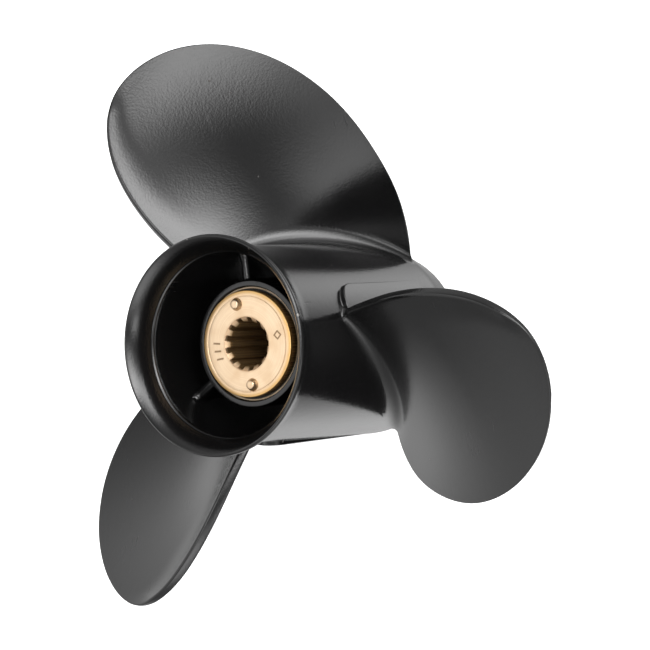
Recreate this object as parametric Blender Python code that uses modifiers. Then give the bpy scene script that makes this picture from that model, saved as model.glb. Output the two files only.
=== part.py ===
"""Outboard boat propeller with three blades, a through-hub exhaust barrel and a splined brass hub.

It stands on the forward end of its barrel, with the flared after end up. The origin is on the shaft's
axis, in the plane that it stands on, and +Z runs aft along the axis. Blade 1 points along +X.

Stations are millimetres forward of the after lip, and angles are degrees clockwise as seen from aft,
from the middle of blade 1, so they run from +X towards -Y.
"""

import math

import bmesh
import bpy

MM = 0.001

# Driving dimensions, in millimetres
LENGTH = 133.5                # whole length of the barrel along the axis
TIP_RADIUS = 132.0
BLADES = 3
JOINT_GAP = 0.3               # clearance kept between neighbouring pieces

# Barrel and diffuser: pairs are radius and station
BARREL_AFT = (39.4, 12.0)     # outer surface where the diffuser begins
BARREL_WIDEST = (42.8, 115.0)
BARREL_NOSE = (38.1, LENGTH)  # a straight cone runs from the widest place to here
NOSE_SHOULDER = 4.0           # length over which the two cones round into each other
BORE_AFT = 37.2
BORE_FORWARD = 35.4
LIP_INNER = 42.4
LIP_OUTER = 43.8
LIP_ROUND = 1.7
FLARE_INNER_END = 10.7        # station where the flare's inner side meets the bore
FLARE_INNER = ((38.2, 6.4), (40.3, 2.6))    # radius and station of the corners that widen it

# Hub tube, carried inside the barrel by three ribs
TUBE_OUTER = 25.8
TUBE_INNER = 23.4
TUBE_AFT = 27.3
TUBE_FORWARD = 127.0
RIB_THICKNESS = 4.2
RIB_AFT = 29.0
RIB_FORWARD = 122.0
RIB_TURN = -3.0               # angle of rib 1 from the middle of blade 1

# Brass sleeve with the shaft's splines, and the rubber bush around it
FLANGE_RADIUS = 21.7
FLANGE_AFT = 24.7
FLANGE_THICKNESS = 5.0
SLEEVE_RADIUS = 15.5
SLEEVE_FORWARD = 128.0
SPLINE_TEETH = 13
SPLINE_MAJOR = 10.9
SPLINE_MINOR = 9.2
SPLINE_TOOTH_SHARE = 0.48     # part of the pitch that a tooth fills at its tip
SPLINE_TURN = -4.9
SPLINE_CHAMFER = 1.9          # depth and width of the cone that cuts the teeth's after ends
STUD_BASE = 2.6               # blunt cones that stand on the flange
STUD_TOP = 1.6
STUD_HEIGHT = 2.0
STUD_CENTRE = 16.7
STUD_ANGLES = (-12.4, 174.0)
BUSH_FORWARD = 120.0

# Blades: the pressure face is a screw surface with rake. Each edge is radius and angle, root to tip
ROOT_STATION = 76.2           # blade's middle line at the root radius
ROOT_RADIUS = 40.0
RAKE_SLOPE = -0.425           # how fast that line moves aft per mm of radius
RAKE_CURVE = 0.00146
PITCH_ROOT = 343.0
PITCH_TIP = 324.0
TIP_ANGLE = -17.9
TRAILING_EDGE = ((40.0, -41.3), (47.9, -41.8), (69.8, -41.3), (94.9, -38.2), (115.3, -33.1),
                 (127.1, -27.4), (TIP_RADIUS, TIP_ANGLE))
LEADING_EDGE = ((40.0, 41.4), (66.9, 31.3), (86.6, 21.5), (104.9, 11.5), (117.4, 2.8),
                (126.2, -5.6), (TIP_RADIUS, TIP_ANGLE))
TRAILING_THICKNESS = (4.3, 1.5)   # at the root and at the tip, without what the curl adds
LEADING_THICKNESS = (2.0, 1.1)
BELLY_THICKNESS = (5.8, 0.8)      # what the middle of the chord adds
CUP_TILT = 0.28                   # greatest slope at which the trailing edge curls aft
CUP_ROOT = 45.0                   # radii at which the curl begins, is steepest and has run out
CUP_STEEPEST = 118.0
CUP_TIP = 130.5
CUP_WIDTH = (14.0, 9.0)           # width of the curled band at CUP_WIDEST and at the tip
CUP_WIDEST = 98.0
CUP_BEND = 0.7                    # share of that width which the bend takes
PRESSURE_FILLET = (3.0, 8.0)      # radius at the root's after and forward ends
SUCTION_FILLET = 1.0
FILLET_ROWS = 4
SPAN_ROWS = 18
CHORD_POINTS = 15
TIP_SHARE = 0.06              # how near the last section comes to the tip

# Raised lands on the barrel, on the forward side of each blade's root
LAND_RADIUS = 42.5
# Station and angle from the middle of its blade, along the land's free edge: a rounded corner, then straight
LAND_EDGE_LINE = ((39.2, -51.2), (39.7, -53.5), (40.7, -55.8), (42.4, -58.2), (44.3, -59.8), (46.8, -60.7),
                  (51.0, -61.0), (55.5, -61.2), (60.0, -61.3), (65.0, -61.5), (70.0, -61.7), (75.0, -61.9),
                  (79.5, -62.1), (84.0, -62.3))
LAND_CLEARANCE = 2.2          # from the blade's forward face

BARREL_SIDES = 48
SLEEVE_SIDES = 52

for old in list(bpy.data.objects):
    bpy.data.objects.remove(old, do_unlink=True)

parts = bpy.data.collections.new("propeller")
cutters = bpy.data.collections.new("propeller_cutters")
bpy.context.scene.collection.children.link(parts)
bpy.context.scene.collection.children.link(cutters)


def material(name, colour, roughness, metallic):
    made = bpy.data.materials.new(name)
    made.use_nodes = True
    shader = made.node_tree.nodes["Principled BSDF"]
    shader.inputs["Base Color"].default_value = (*colour, 1.0)
    shader.inputs["Roughness"].default_value = roughness
    shader.inputs["Metallic"].default_value = metallic
    return made


BLACK_PAINT = material("black_paint", (0.030, 0.031, 0.033), 0.42, 0.0)
BRASS = material("brass", (0.80, 0.62, 0.38), 0.38, 1.0)
RUBBER = material("rubber", (0.020, 0.019, 0.018), 0.75, 0.0)


def add_object(name, mesh, skin, collection=parts):
    made = bpy.data.objects.new(name, mesh)
    made.data.materials.append(skin)
    collection.objects.link(made)
    return made


def place(radius, angle, station):
    """A point given by radius, angle and station, as coordinates in metres."""
    turn = -math.radians(angle)
    return (radius * math.cos(turn) * MM, radius * math.sin(turn) * MM, (LENGTH - station) * MM)


def turned(name, profile, skin, sides=BARREL_SIDES, collection=parts):
    """A ring turned about the axis from (radius, station) corners that start aft on its outer side."""
    mesh = bpy.data.meshes.new(name)
    build = bmesh.new()
    corners = [build.verts.new(place(radius, 0.0, station)) for radius, station in profile]
    for first, second in zip(corners, corners[1:] + corners[:1]):
        build.edges.new((first, second))
    build.to_mesh(mesh)
    build.free()
    made = add_object(name, mesh, skin, collection)
    screw = made.modifiers.new("turn", "SCREW")
    screw.axis = "Z"
    screw.angle = math.tau
    screw.steps = sides
    screw.render_steps = sides
    screw.use_merge_vertices = True
    screw.merge_threshold = 0.00001
    screw.use_smooth_shade = True
    return made


def loft(name, sections, skin, collection=parts):
    """A closed solid through sections of equally many points, with flat ends."""
    mesh = bpy.data.meshes.new(name)
    build = bmesh.new()
    rings = [[build.verts.new(point) for point in section] for section in sections]
    for ring, following in zip(rings, rings[1:]):
        for i in range(len(ring)):
            j = (i + 1) % len(ring)
            build.faces.new((ring[i], ring[j], following[j], following[i]))
    build.faces.new(rings[0][::-1])
    build.faces.new(rings[-1])
    bmesh.ops.triangulate(build, faces=build.faces[:])
    bmesh.ops.recalc_face_normals(build, faces=build.faces[:])
    build.to_mesh(mesh)
    build.free()
    mesh.shade_smooth()
    mesh.set_sharp_from_angle(angle=math.radians(40.0))
    return add_object(name, mesh, skin, collection)


def cut(target, cutter, operation="DIFFERENCE"):
    cutter.hide_render = True
    cutter.display_type = "WIRE"
    boolean = target.modifiers.new("cut", "BOOLEAN")
    boolean.operation = operation
    boolean.solver = "EXACT"
    boolean.object = cutter


def mix(pair, share):
    return pair[0] + (pair[1] - pair[0]) * share


def barrel_radius(station):
    """Outer radius of the barrel: a cone that widens forward, a rounded shoulder and a cone to the nose."""
    widen = (BARREL_WIDEST[0] - BARREL_AFT[0]) / (BARREL_WIDEST[1] - BARREL_AFT[1])
    narrow = (BARREL_NOSE[0] - BARREL_WIDEST[0]) / (BARREL_NOSE[1] - BARREL_WIDEST[1])
    past = station - BARREL_WIDEST[1]
    if abs(past) < NOSE_SHOULDER:
        turn = (narrow - widen) / (4 * NOSE_SHOULDER)
        return BARREL_WIDEST[0] + widen * past + turn * (past + NOSE_SHOULDER) ** 2
    return BARREL_WIDEST[0] + (narrow if past > 0 else widen) * past


def bore_radius(station):
    share = (station - BARREL_AFT[1]) / (LENGTH - BARREL_AFT[1])
    return mix((BORE_AFT, BORE_FORWARD), share)


def edge_reach(radius):
    """How far a radius is from the tip, as the square root of a share, in which a round tip is smooth."""
    return math.sqrt(max(TIP_RADIUS - radius, 0.0) / (TIP_RADIUS - ROOT_RADIUS))


def edge_angle(edge, radius):
    """Angle of a blade's edge at a radius, on a smooth curve through the edge's points."""
    knots = [(edge_reach(r), angle) for r, angle in edge]
    slopes = []
    for i in range(len(knots)):
        before, after = knots[max(i - 1, 0)], knots[min(i + 1, len(knots) - 1)]
        slopes.append((after[1] - before[1]) / (after[0] - before[0]))
    at = edge_reach(radius)
    i = 0
    while i < len(knots) - 2 and at < knots[i + 1][0]:
        i += 1
    width = knots[i + 1][0] - knots[i][0]
    t = (at - knots[i][0]) / width
    return (knots[i][1] * (1 + 2 * t) * (1 - t) ** 2 + slopes[i] * width * t * (1 - t) ** 2
            + knots[i + 1][1] * (3 - 2 * t) * t * t + slopes[i + 1] * width * t * t * (t - 1))


def out_share(radius):
    return (radius - ROOT_RADIUS) / (TIP_RADIUS - ROOT_RADIUS)


def pitch_at(radius):
    return mix((PITCH_ROOT, PITCH_TIP), out_share(radius) ** 2)


def pressure_station(radius, angle):
    """Station of the pressure face of a blade whose middle is at angle 0."""
    out = radius - ROOT_RADIUS
    rake = ROOT_STATION + RAKE_SLOPE * out + RAKE_CURVE * out * out
    return rake + pitch_at(radius) * math.radians(angle) / math.tau


def thickness_at(radius, chord):
    share = out_share(radius)
    edges = mix((mix(TRAILING_THICKNESS, share), mix(LEADING_THICKNESS, share)), chord)
    return edges + mix(BELLY_THICKNESS, share) * math.sin(math.pi * chord) ** 0.8


def cup(radius, depth):
    """How far the curled band stands aft of the screw surface at a depth from the edge, and its slope."""
    tilt = CUP_TILT * min(max((radius - CUP_ROOT) / (CUP_STEEPEST - CUP_ROOT), 0.0), 1.0)
    tilt *= min(max((CUP_TIP - radius) / (CUP_TIP - CUP_STEEPEST), 0.0), 1.0) ** 1.6
    width = mix(CUP_WIDTH, max(radius - CUP_WIDEST, 0.0) / (TIP_RADIUS - CUP_WIDEST))
    past = max(width - depth, 0.0)
    bend = CUP_BEND * width
    lift = past * past / (2 * bend) if past < bend else past - bend / 2
    return tilt * lift, tilt * min(past / bend, 1.0)


def blade_point(radius, chord, off, side=0):
    """Radius, angle and station of a point that lies off forward of the pressure face, along its normal.

    On side 1, the suction face, the curl is filled out, so that the edge is thicker there."""
    trailing = edge_angle(TRAILING_EDGE, radius)
    angle = mix((trailing, edge_angle(LEADING_EDGE, radius)), chord)
    slope = math.atan(pitch_at(radius) / math.tau / radius)
    lift, tilt = cup(radius, math.radians(angle - trailing) * radius / math.cos(slope))
    off += lift * side
    lean = math.atan(tilt)
    across, rise = -off * math.sin(lean), off * math.cos(lean) - lift
    station = pressure_station(radius, angle) + across * math.sin(slope) + rise * math.cos(slope)
    return radius, angle + math.degrees((across * math.cos(slope) - rise * math.sin(slope)) / radius), station


def section_path():
    """Chord shares and sides in order round a section: pressure face going forward, suction face back."""
    chords = [(1 - math.cos(math.pi * i / (CHORD_POINTS - 1))) / 2 for i in range(CHORD_POINTS)]
    return [(c, 0) for c in chords] + [(c, 1) for c in reversed(chords)]


def fillet_section(turn_share):
    """A section through the root fillet: at share 0 it lies on the barrel, at 1 it meets the blade's faces."""
    turn = math.pi / 2 * turn_share
    section = []
    for chord, side in section_path():
        fillet = SUCTION_FILLET if side else mix(PRESSURE_FILLET, chord)
        rise = JOINT_GAP + fillet * (1 - math.cos(turn))
        push = fillet * (1 - math.sin(turn))
        radius = ROOT_RADIUS + rise
        for _ in range(4):
            face = thickness_at(radius, chord) + push if side else -push
            station = blade_point(radius, chord, face, side)[2]
            radius = barrel_radius(station) + rise
        section.append(blade_point(radius, chord, face, side))
    return section


def blade_sections():
    """Sections of a blade from its root on the barrel to its tip."""
    sections = [fillet_section(i / (FILLET_ROWS - 1)) for i in range(FILLET_ROWS)]
    start = edge_reach(BARREL_WIDEST[0] + PRESSURE_FILLET[1] + 3.0)
    for row in range(SPAN_ROWS):
        reach = mix((start, TIP_SHARE), row / (SPAN_ROWS - 1))
        radius = TIP_RADIUS - (TIP_RADIUS - ROOT_RADIUS) * reach ** 2
        section = []
        for chord, side in section_path():
            section.append(blade_point(radius, chord, thickness_at(radius, chord) * side, side))
        sections.append(section)
    return sections


def exhaust_barrel():
    start = BARREL_AFT[1] + JOINT_GAP
    shoulder = [BARREL_WIDEST[1] + NOSE_SHOULDER * side for side in (-1.0, -0.5, 0.0, 0.5, 1.0)]
    outer = [(barrel_radius(s), s) for s in [start] + shoulder + [LENGTH]]
    inner = [(bore_radius(s), s) for s in (LENGTH, start)]
    turned("exhaust_barrel", outer + inner, BLACK_PAINT)


def diffuser_ring():
    end = BARREL_AFT[1]
    outer = [(LIP_OUTER - 0.8, 0.0), (LIP_OUTER - 0.2, 0.5), (LIP_OUTER, LIP_ROUND), (41.6, 5.0),
             (40.1, 8.4), (barrel_radius(end), end)]
    inner = [(BORE_AFT, end), (BORE_AFT, FLARE_INNER_END), *FLARE_INNER, (LIP_INNER, 0.0)]
    turned("diffuser_ring", outer + inner, BLACK_PAINT)


def hub_tube():
    profile = [(TUBE_OUTER, TUBE_AFT), (TUBE_OUTER, TUBE_FORWARD),
               (TUBE_INNER, TUBE_FORWARD), (TUBE_INNER, TUBE_AFT)]
    turned("hub_tube", profile, BLACK_PAINT)


def ribs():
    """Three plates that run lengthwise between the hub tube and the barrel, one under each blade."""
    for number in range(BLADES):
        sections = []
        for station in (RIB_AFT, RIB_FORWARD):
            section = []
            for side, edge in ((-1, 0), (1, 0), (1, 1), (-1, 1)):
                reach = bore_radius(station) - JOINT_GAP if edge else TUBE_OUTER + JOINT_GAP
                lean = math.degrees(math.asin(side * RIB_THICKNESS / 2 / reach))
                section.append(place(reach, RIB_TURN + 360.0 * number / BLADES + lean, station))
            sections.append(section)
        loft(f"rib_{number + 1}", sections, BLACK_PAINT)


def blades():
    """Three blades alike, each lofted through sections on cylinders about the axis."""
    sections = blade_sections()
    for number in range(BLADES):
        turn = 360.0 * number / BLADES
        turned_sections = [[place(r, angle + turn, s) for r, angle, s in section] for section in sections]
        loft(f"blade_{number + 1}", turned_sections, BLACK_PAINT)


def forward_face_angle(station):
    """Angle at which a blade's forward face passes a station, at the lands' radius."""
    low, high = 0.0, 1.0
    for _ in range(30):
        middle = (low + high) / 2
        if blade_point(LAND_RADIUS, middle, thickness_at(LAND_RADIUS, middle), 1)[2] < station:
            low = middle
        else:
            high = middle
    return blade_point(LAND_RADIUS, low, thickness_at(LAND_RADIUS, low), 1)[1]


def root_lands():
    """Low pads of even radius on the widening barrel, from their straight edge to the blade's root."""
    across = 8
    for number in range(BLADES):
        turn = 360.0 * number / BLADES
        sections = []
        for station, first in LAND_EDGE_LINE:
            last = forward_face_angle(station) - math.degrees(LAND_CLEARANCE / LAND_RADIUS)
            angles = [mix((first, last), i / across) + turn for i in range(across + 1)]
            base = barrel_radius(station) + JOINT_GAP
            section = [place(LAND_RADIUS, angle, station) for angle in angles]
            section += [place(base, angle, station) for angle in reversed(angles)]
            sections.append(section)
        loft(f"root_land_{number + 1}", sections, BLACK_PAINT)


def rubber_bush():
    start = FLANGE_AFT + FLANGE_THICKNESS + JOINT_GAP
    outer = TUBE_INNER - JOINT_GAP
    inner = SLEEVE_RADIUS + JOINT_GAP
    profile = [(outer, start), (outer, BUSH_FORWARD), (inner, BUSH_FORWARD), (inner, start)]
    turned("rubber_bush", profile, RUBBER)


def spline_cutter():
    """The shaft's room in the sleeve: a star with a groove between each pair of teeth."""
    pitch = 360.0 / SPLINE_TEETH
    sections = []
    for station in (FLANGE_AFT - 2.0, SLEEVE_FORWARD + 2.0):
        section = []
        for tooth in range(SPLINE_TEETH):
            middle = SPLINE_TURN + pitch * tooth
            tooth_half = pitch * SPLINE_TOOTH_SHARE / 2
            groove_half = pitch / 2 - tooth_half
            groove = middle + pitch / 2
            section += [place(SPLINE_MINOR, middle - tooth_half, station),
                        place(SPLINE_MINOR, middle + tooth_half, station),
                        place(SPLINE_MAJOR, groove - groove_half * 0.85, station),
                        place(SPLINE_MAJOR, groove + groove_half * 0.85, station)]
        sections.append(section)
    return loft("spline_cutter", sections, BRASS, cutters)


def chamfer_cutter():
    """A cone over the bore's after end, wider than the splines at the face."""
    widest = SPLINE_MAJOR + 0.2
    sections = []
    for radius, depth in ((widest + 1.0, -1.0), (widest - SPLINE_CHAMFER - 1.0, SPLINE_CHAMFER + 1.0)):
        turns = [360.0 * i / SLEEVE_SIDES for i in range(SLEEVE_SIDES)]
        sections.append([place(radius, turn, FLANGE_AFT + depth) for turn in turns])
    return loft("chamfer_cutter", sections, BRASS, cutters)


def studs():
    """Two blunt cones, sunk a little into the flange's after face."""
    made = []
    for number, angle in enumerate(STUD_ANGLES):
        x, y, z = place(STUD_CENTRE, angle, FLANGE_AFT)
        sections = []
        for radius, height in ((STUD_BASE, -1.0), (STUD_BASE, 0.0), (STUD_TOP, STUD_HEIGHT)):
            turns = [math.tau * i / 16 for i in range(16)]
            sections.append([(x + radius * math.cos(turn) * MM, y + radius * math.sin(turn) * MM, z + height * MM)
                             for turn in turns])
        made.append(loft(f"stud_{number + 1}", sections, BRASS, cutters))
    return made


def spline_sleeve():
    back = FLANGE_AFT + FLANGE_THICKNESS
    core = 5.0
    profile = [(FLANGE_RADIUS - 0.4, FLANGE_AFT), (FLANGE_RADIUS, FLANGE_AFT + 0.4), (FLANGE_RADIUS, back),
               (SLEEVE_RADIUS, back), (SLEEVE_RADIUS, SLEEVE_FORWARD), (core, SLEEVE_FORWARD),
               (core, FLANGE_AFT)]
    sleeve = turned("spline_sleeve", profile, BRASS, SLEEVE_SIDES)
    cut(sleeve, spline_cutter())
    cut(sleeve, chamfer_cutter())
    for stud in studs():
        cut(sleeve, stud, "UNION")


exhaust_barrel()
diffuser_ring()
hub_tube()
ribs()
blades()
root_lands()
rubber_bush()
spline_sleeve()
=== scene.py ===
"""Looks of the outboard propeller: one black painted casting, a brass spline sleeve and a rubber bush.

The propeller stands on the forward end of its barrel with the flared after end up, so +Z runs aft along
the shaft's axis and blade 1 points along +X. The casting's shapes are worked out from three measures:
radius from the axis, station (millimetres forward of the after lip) and angle (degrees clockwise as seen
from aft, from the middle of blade 1). Sizes are in millimetres until a point is placed.
"""
import math

import bmesh
import bpy
import numpy as np
from mathutils import Euler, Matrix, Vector


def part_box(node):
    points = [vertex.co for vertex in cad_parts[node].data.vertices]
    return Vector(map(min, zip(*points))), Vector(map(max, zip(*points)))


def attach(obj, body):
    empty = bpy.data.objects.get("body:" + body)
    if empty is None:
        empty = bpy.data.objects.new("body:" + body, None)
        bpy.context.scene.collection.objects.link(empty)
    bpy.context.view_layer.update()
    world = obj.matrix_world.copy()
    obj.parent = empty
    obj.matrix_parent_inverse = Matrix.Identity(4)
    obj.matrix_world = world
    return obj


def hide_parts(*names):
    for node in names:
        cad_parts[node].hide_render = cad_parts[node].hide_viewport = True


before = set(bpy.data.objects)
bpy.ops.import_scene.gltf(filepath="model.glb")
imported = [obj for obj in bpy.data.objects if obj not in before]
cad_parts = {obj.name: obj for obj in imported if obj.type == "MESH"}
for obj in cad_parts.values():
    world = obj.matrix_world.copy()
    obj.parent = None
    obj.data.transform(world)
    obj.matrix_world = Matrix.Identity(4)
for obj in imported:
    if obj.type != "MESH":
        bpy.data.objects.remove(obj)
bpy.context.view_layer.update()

MM = 0.001
AFT_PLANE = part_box("diffuser_ring")[1].z / MM      # height of the after lip above the floor
FLOOR_CLEARANCE = 0.005                # keeps the nose from dipping under the floor's plane by rounding
LENGTH = AFT_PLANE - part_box("exhaust_barrel")[0].z / MM - FLOOR_CLEARANCE
BLADES = 3
THIRD = 360.0 / BLADES

# Barrel and flare: pairs are radius and station
BARREL_AFT = (39.4, 12.0)
BARREL_WIDEST = (42.8, 115.0)
BARREL_NOSE = (38.1, LENGTH)
NOSE_SHOULDER = 4.0                    # length over which the two cones round into each other
NOSE_ROUND = (0.5, 0.8)                # outside and inside
BORE_AFT = 37.2
BORE_FORWARD = 35.4
BORE_TAPER = (LENGTH - 6.0, 14.0)      # stations between which the bore widens, from forward to aft
FLARE_OUTER = ((43.3, 2.7), (42.45, 3.8), (41.6, 5.0), (40.8, 6.5), (40.1, 8.4), (39.65, 10.2))
FLARE_BEAD = ((37.18, 11.95), (36.96, 11.7), (36.83, 11.42), (36.86, 11.1), (37.05, 10.8), (37.35, 10.6))
FLARE_BEND = (0.62, 3.6)               # share of the flare that widens evenly, and how late the rest does
LIP_INNER = 42.4
LIP_OUTER = 43.8
LIP_START = 0.35                       # station where the flare's inner side meets the lip
BARREL_SIDES = 288

# Hub tube and its three ribs
TUBE_OUTER = 25.8
TUBE_INNER = 23.4
TUBE_AFT = 27.3
TUBE_FORWARD = 127.0
TUBE_SIDES = 192
RIB_THICKNESS = 4.2
RIB_AFT = 29.0
RIB_FORWARD = 122.0
RIB_TURN = -3.4                        # angle of rib 1 from the middle of blade 1
RIB_NOSE = 0.42                        # length of the rounded after edge as a share of the thickness
RIB_FILLET = (1.0, 1.0)                # radii by which the sides spread at the tube and at the bore
RIB_CLIMB = (1.0, 3.0)                 # radii by which the after edge curves up at the tube and at the bore

# Brass sleeve and rubber bush
FLANGE_RADIUS = 21.7
FLANGE_AFT = 24.7
FLANGE_THICKNESS = 5.0
# Radius and depth along the flange's after face, past its round rim and a fine groove
FLANGE_FACE = ((20.6, 0.2), (19.7, 0.08), (19.6, 0.1), (19.5, 0.2), (19.35, 0.2), (19.25, 0.02), (19.15, 0.0),
               (18.0, 0.0), (16.0, 0.0))
# Radii over which the face's points take up the teeth's spacing
FLANGE_EASE = ((14.0, 0.8), (12.4, 0.4), (11.3, 0.0))
SLEEVE_RADIUS = 15.5
SLEEVE_FORWARD = 128.0
SPLINE_TEETH = 13
SPLINE_MAJOR = 10.9
SPLINE_MINOR = 9.2
SPLINE_TOOTH_SHARE = 0.48
SPLINE_TURN = -4.9
SPLINE_CHAMFER = 1.9                   # depth and width of the chamfer that cuts the teeth's after ends
STUD_CENTRE = 16.7
STUD_BASE = 2.6
STUD_TOP = 1.6
STUD_HEIGHT = 2.0
STUD_ANGLES = (-12.4, 174.0)
BUSH_AFT = 29.6
BUSH_FORWARD = 120.0
BUSH_SIDES = 160
COLLAR_AFT = 28.4
COLLAR_FORWARD = 29.8
COLLAR_GAP = 0.25                      # between the collar and the tube
COLLAR_WALL = 0.7

# Blades: the pressure face is a screw surface with rake
TIP_RADIUS = 131.8
TIP_ANGLE = -17.9
SPINE_REACH = 98.0                     # end of the line inside the outline to which a face's rows run
SPINE_ANGLE = -15.0
ROOT_STATION = 76.2
ROOT_RADIUS = 40.0
RAKE_SLOPE = -0.425
RAKE_CURVE = 0.00146
PITCH_ROOT = 343.0
PITCH_TIP = 324.0
TRAILING_EDGE = ((40.0, -41.3), (47.9, -41.8), (69.8, -41.3), (94.9, -38.2), (115.3, -33.1), (127.1, -27.4))
LEADING_EDGE = ((40.0, 41.4), (66.9, 31.3), (86.6, 21.5), (104.9, 11.5), (117.4, 2.8), (126.2, -5.6))
EDGE_THICKNESS_TRAILING = (4.3, 1.5)   # at the root and at the tip, without the curl
EDGE_THICKNESS_LEADING = (2.0, 1.1)
BELLY_THICKNESS = (5.8, 0.8)
CUP_TILT = 0.28                        # greatest slope at which the trailing edge curls aft
CUP_REACH = (45.0, 118.0, 130.5)       # radii at which the curl begins, is steepest and has run out
CUP_FADE = 1.6                         # how quickly it runs out
CUP_WIDTH = ((98.0, 14.0), (118.0, 9.5), (130.0, 8.0))
CUP_BEND = 0.7                         # share of the width that its bend takes
EDGE_ROUND = (0.28, 0.22)              # radii of the pressure and suction corners as shares of the thickness
PRESSURE_FILLET = (2.4, 8.0, 3.0)      # radius at the trailing end, in the middle and at the leading end
SUCTION_FILLET = (2.4, 6.0, 3.0)
FILLET_SWELL = 0.7                     # how quickly the radius grows from either end to the middle
FILLET_SKIRT = (0.5, 0.06)             # how far the last row runs on over the barrel and dips under it
ROOT_SLOPE = 0.9                       # slope of the screw surface near the root, in radians
OUTLINE_COLUMNS = 176
FACE_ROWS = 30
FILLET_ROWS = 12

# Raised lands on the barrel in front of each blade
LAND_RADIUS = 42.5
# Station and angle along the land's free edge, from its after end past the rounded corner
LAND_OUTLINE = ((35.2, -40.9), (37.2, -43.4), (38.6, -46.0), (38.8, -49.2), (39.4, -52.6), (40.7, -55.8),
                (42.3, -58.2), (44.2, -59.8), (46.6, -60.7), (50.0, -61.0), (60.0, -61.3), (75.0, -61.9),
                (92.0, -62.6), (112.0, -64.2))
LAND_STEP = 0.45                       # spacing of the points along that edge
LAND_FOOT = 0.5                        # radius of the hollow foot
LAND_EDGE = 0.45                       # radius of the rounded edge
LAND_SKIRT = (1.2, 0.1)                # how far the foot runs on over the barrel and dips under it
LAND_TUCK = (2.0, 0.4)                 # degrees by which the land reaches under its blade, and the dip there
LAND_EASE = 0.16                       # share of the chord over which a blade's foot climbs onto its land

# Bars stamped into the flange's face, as plain marks: middle, half sizes and turn in degrees
FLANGE_MARKS = ((-5.4, 13.6, 1.7, 0.32, 96.0), (-2.2, 14.6, 1.7, 0.32, 90.0), (1.0, 14.9, 1.7, 0.32, 84.0),
                (1.9, -14.7, 1.3, 0.28, 45.0), (3.5, -16.3, 1.3, 0.28, 45.0),
                (3.5, -14.7, 1.3, 0.28, -45.0), (1.9, -16.3, 1.3, 0.28, -45.0))

# Colours, most of them in pairs between which a pattern moves
PAINT = ((0.0022, 0.0022, 0.0024), (0.0042, 0.0041, 0.0041))
PAINT_DUST = (0.05, 0.045, 0.04)
PAINT_SCRATCH = (0.012, 0.012, 0.012)
PAINT_CHIP = (0.16, 0.15, 0.14)
BRASS_FACE = ((0.74, 0.55, 0.37), (0.82, 0.64, 0.44))
BRASS_PATCH = (0.72, 0.52, 0.33)
BRASS_RIM = (0.78, 0.48, 0.18)
# painted shade: the dark tones of the sleeve's shaded bore and flange side; the lighter one gives painted
# reflection lines
BRASS_PAINTED_SHADE = ((0.16, 0.095, 0.04), (0.38, 0.25, 0.115))
BRASS_MARK = (0.16, 0.085, 0.035)
RUBBER = ((0.010, 0.010, 0.010), (0.022, 0.021, 0.020))
RUBBER_DUST = (0.07, 0.06, 0.05)
COLLAR = ((0.30, 0.22, 0.14), (0.46, 0.36, 0.25))
FLOOR = ((0.84, 0.84, 0.84), (0.88, 0.88, 0.88))

# Camera: place, its height counted from the flare's lip, then turn in degrees and lens
CAMERA_AT = (-8.93, -397.99, 523.88)
CAMERA_TURN = (-1.28651976, 33.23413253, -94.57444084)
CAMERA_LENS = 92.869
SENSOR_WIDTH = 36.0

# Studio: the glow of the whole sky, and soft lights given by direction, brightness and sharpness
FLOOR_HALF = 3.0                       # half the floor's width, in metres
FLOOR_GLOW = 0.6
SKY_LEVEL = 0.035
SOFT_LIGHTS = (
    ((0.52, -0.76, 0.40), 6.0, 42.0),
    ((0.80, -0.58, 0.14), 5.5, 35.0),
    ((0.58, -0.80, 0.04), 5.0, 35.0),
    ((0.28, -0.79, 0.55), 7.6, 28.0),
    ((0.50, -0.60, 0.63), 6.5, 95.0),
    ((0.14, -0.16, 0.98), 7.4, 95.0),
    ((-0.08, -0.20, 0.98), 5.2, 95.0),
    ((0.35, -0.39, 0.85), 1.0, 42.0),
    ((-0.31, -0.21, 0.93), 1.7, 85.0),
    ((-0.62, -0.27, 0.73), 1.6, 46.0),
    ((-0.52, -0.57, 0.64), 1.5, 50.0),
    ((-0.60, 0.43, 0.67), 0.5, 6.5),
    ((0.36, 0.89, 0.28), 1.0, 15.0),
    ((0.41, 0.90, -0.17), 1.0, 36.0),
    ((-0.43, 0.79, 0.43), 0.7, 44.0),
    ((-0.32, 0.94, 0.14), 0.45, 36.0),
    ((-0.24, 0.94, -0.24), 0.85, 20.0),
    ((-0.88, -0.47, -0.09), 0.5, 3.8),
    ((0.02, 0.52, 0.85), 1.4, 18.0),
    ((-0.59, 0.14, -0.79), 1.5, 12.0),
    ((0.47, -0.29, -0.83), 2.0, 24.0),
    ((0.93, 0.30, -0.22), 0.65, 0.9),
    ((0.02, 0.55, -0.84), 0.2, 16.0),
    ((-0.88, -0.28, 0.40), 2.8, 22.0),
    ((-0.71, -0.58, 0.40), 2.4, 60.0),
    ((-0.40, -0.88, 0.25), 4.5, 70.0),
)


def mix(pair, share):
    """A value between the two of a pair."""
    return pair[0] + (pair[1] - pair[0]) * share


def place(radius, angle, station):
    """Points given by radius, angle and station, as an array of coordinates in metres."""
    turn = -np.radians(np.asarray(angle, float))
    radius, turn, station = np.broadcast_arrays(np.asarray(radius, float), turn, np.asarray(station, float))
    return np.stack([radius * np.cos(turn), radius * np.sin(turn), AFT_PLANE - station], axis=-1) * MM


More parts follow.
